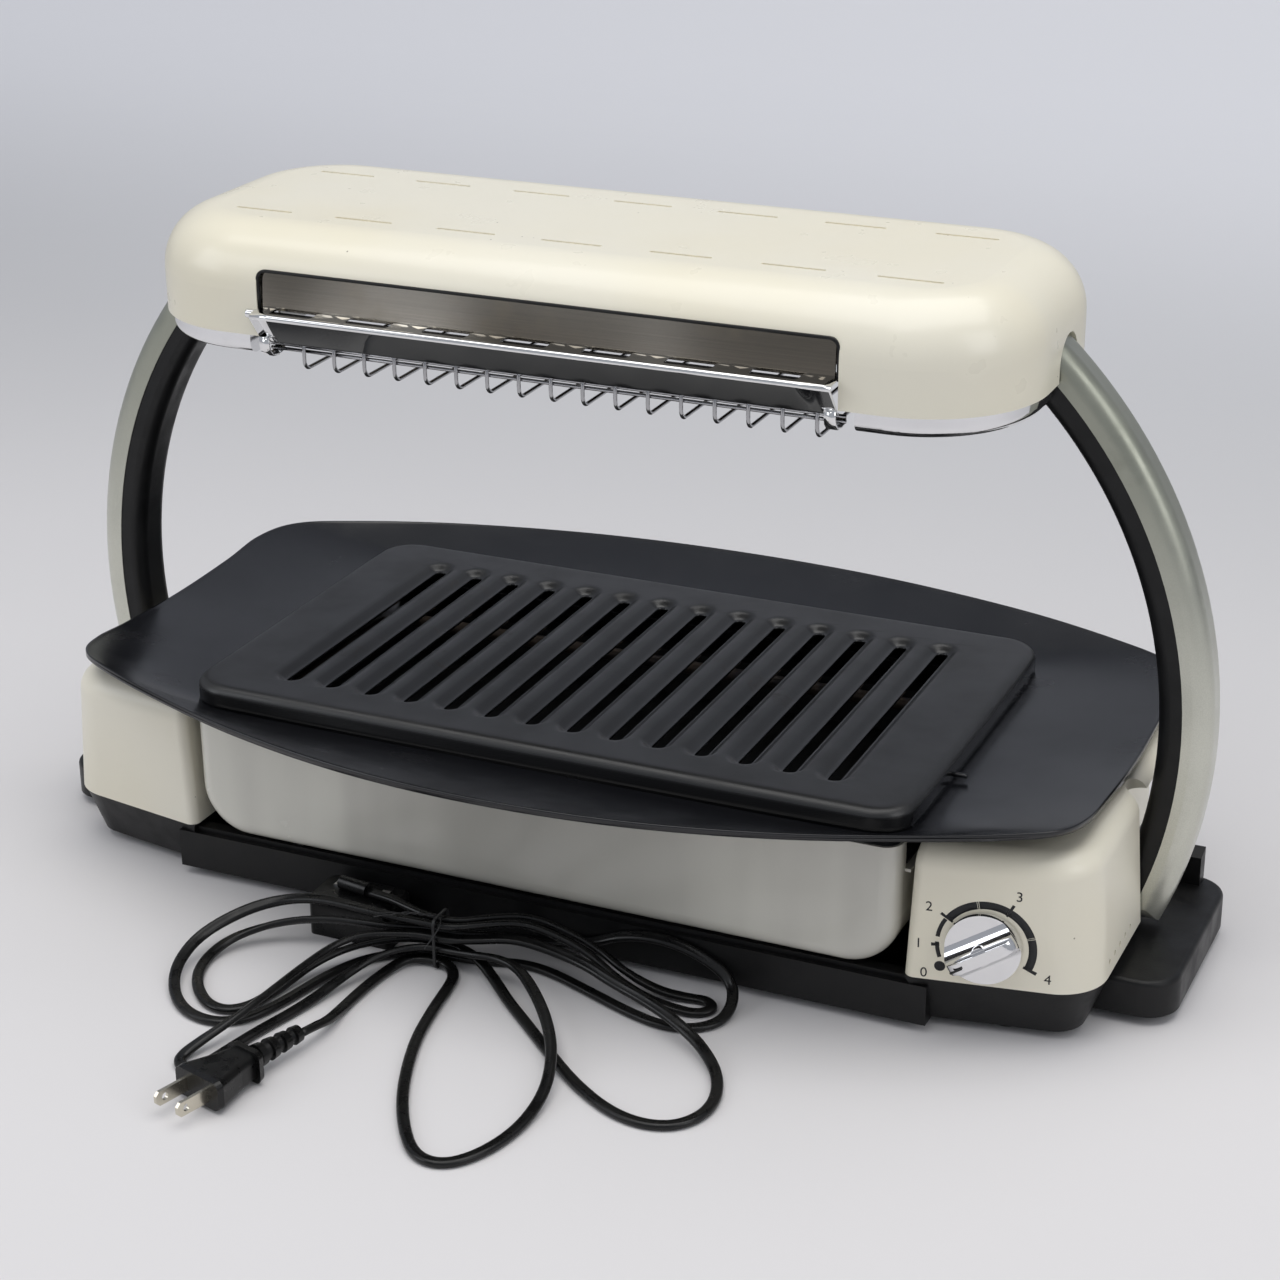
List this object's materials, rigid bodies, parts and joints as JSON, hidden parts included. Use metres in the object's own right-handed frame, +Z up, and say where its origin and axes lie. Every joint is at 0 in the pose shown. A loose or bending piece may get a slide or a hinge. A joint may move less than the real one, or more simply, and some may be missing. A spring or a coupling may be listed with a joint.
{
  "type": "electric table grill",
  "caption": "Table grill with a tilting heater hood on two arched arms, a lift-off slotted plate in a guard plate, a sliding drip pan and a heat knob.",
  "frame": {"origin": "bottom centre of the grill without its loose cord, on the table under the feet", "axes": "+X towards the control side, +Y towards the back, +Z up"},
  "size_m": [0.547, 0.4291, 0.305],
  "materials": {
    "black_plastic": "satin",
    "blade_brass": "nickel plated",
    "chrome": "polished",
    "cord_rubber": "satin",
    "cream_paint": "gloss",
    "cream_plastic": "gloss",
    "foot_rubber": "matt",
    "guard_enamel": "gloss",
    "heater_sheath": "matt oxide",
    "mirror_steel": "polished",
    "plate_coating": "satin",
    "silver_paint": "satin",
    "stainless": "bright",
    "tie_plastic": "matt",
    "tray_aluminium": "plain",
    "zinc_steel": "zinc plated"
  },
  "bodies": {
    "base": {"base_frame": "black_plastic", "cord_connector": "cord_rubber", "cord_contact_left": "chrome", "cord_contact_right": "chrome", "cord_hank": "cord_rubber", "cord_lead": "cord_rubber", "cord_plug_lead": "cord_rubber", "cord_tie": "tie_plastic", "cover_left": "cream_plastic", "cover_right": "cream_plastic", "foot_front_left": "foot_rubber", "foot_front_right": "foot_rubber", "foot_rear_left": "foot_rubber", "foot_rear_right": "foot_rubber", "heat_switch": "black_plastic", "heater_rest_front": "zinc_steel", "heater_rest_rear": "zinc_steel", "heater_terminal": "black_plastic", "hinge_bracket_left": "zinc_steel", "hinge_bracket_right": "zinc_steel", "hinge_pin_left": "zinc_steel", "hinge_pin_right": "zinc_steel", "inlet_socket": "black_plastic", "lower_heater": "heater_sheath", "plug_blade_left": "blade_brass", "plug_blade_right": "blade_brass", "plug_body": "cord_rubber"},
    "hood": {"arm_core_left": "zinc_steel", "arm_core_right": "zinc_steel", "arm_inner_left": "black_plastic", "arm_inner_right": "black_plastic", "arm_shell_left": "silver_paint", "arm_shell_right": "silver_paint", "frame_screw_left_front": "zinc_steel", "frame_screw_left_rear": "zinc_steel", "frame_screw_right_front": "zinc_steel", "frame_screw_right_rear": "zinc_steel", "heater_front": "heater_sheath", "heater_holder_left": "zinc_steel", "heater_holder_right": "zinc_steel", "heater_rear": "heater_sheath", "hood_cover": "cream_paint", "hood_frame": "zinc_steel", "hood_trim_left": "chrome", "hood_trim_right": "chrome", "mirror_flap": "mirror_steel", "reflector": "stainless", "wire_guard": "chrome"},
    "knob": {"knob_cap": "chrome", "knob_insert": "black_plastic", "knob_spindle": "zinc_steel"},
    "pan": {"pan": "cream_paint", "drip_tray": "tray_aluminium"},
    "guard": {"guard_plate": "guard_enamel"},
    "plate": {"slotted_plate": "plate_coating"}
  },
  "joints": [
    {"name": "hood_tilt", "type": "hinge", "parent": "base", "child": "hood", "pos_m": [0, 0, 0.036], "axis": [-1, 0, 0], "range_deg": [0, 75]},
    {"name": "knob_turn", "type": "hinge", "parent": "base", "child": "knob", "pos_m": [0.20355, -0.09157, 0.0456], "axis": [-0.1644, 0.9864, 0], "range_deg": [0, 236]},
    {"name": "pan_slide", "type": "slide", "parent": "base", "child": "pan", "axis": [0, -1, 0], "range_m": [0, 0.11]},
    {"name": "guard_lift", "type": "slide", "parent": "base", "child": "guard", "axis": [0, 0, 1], "range_m": [0, 0.04]},
    {"name": "plate_lift", "type": "slide", "parent": "guard", "child": "plate", "axis": [0, 0, 1], "range_m": [0, 0.03]}
  ]
}
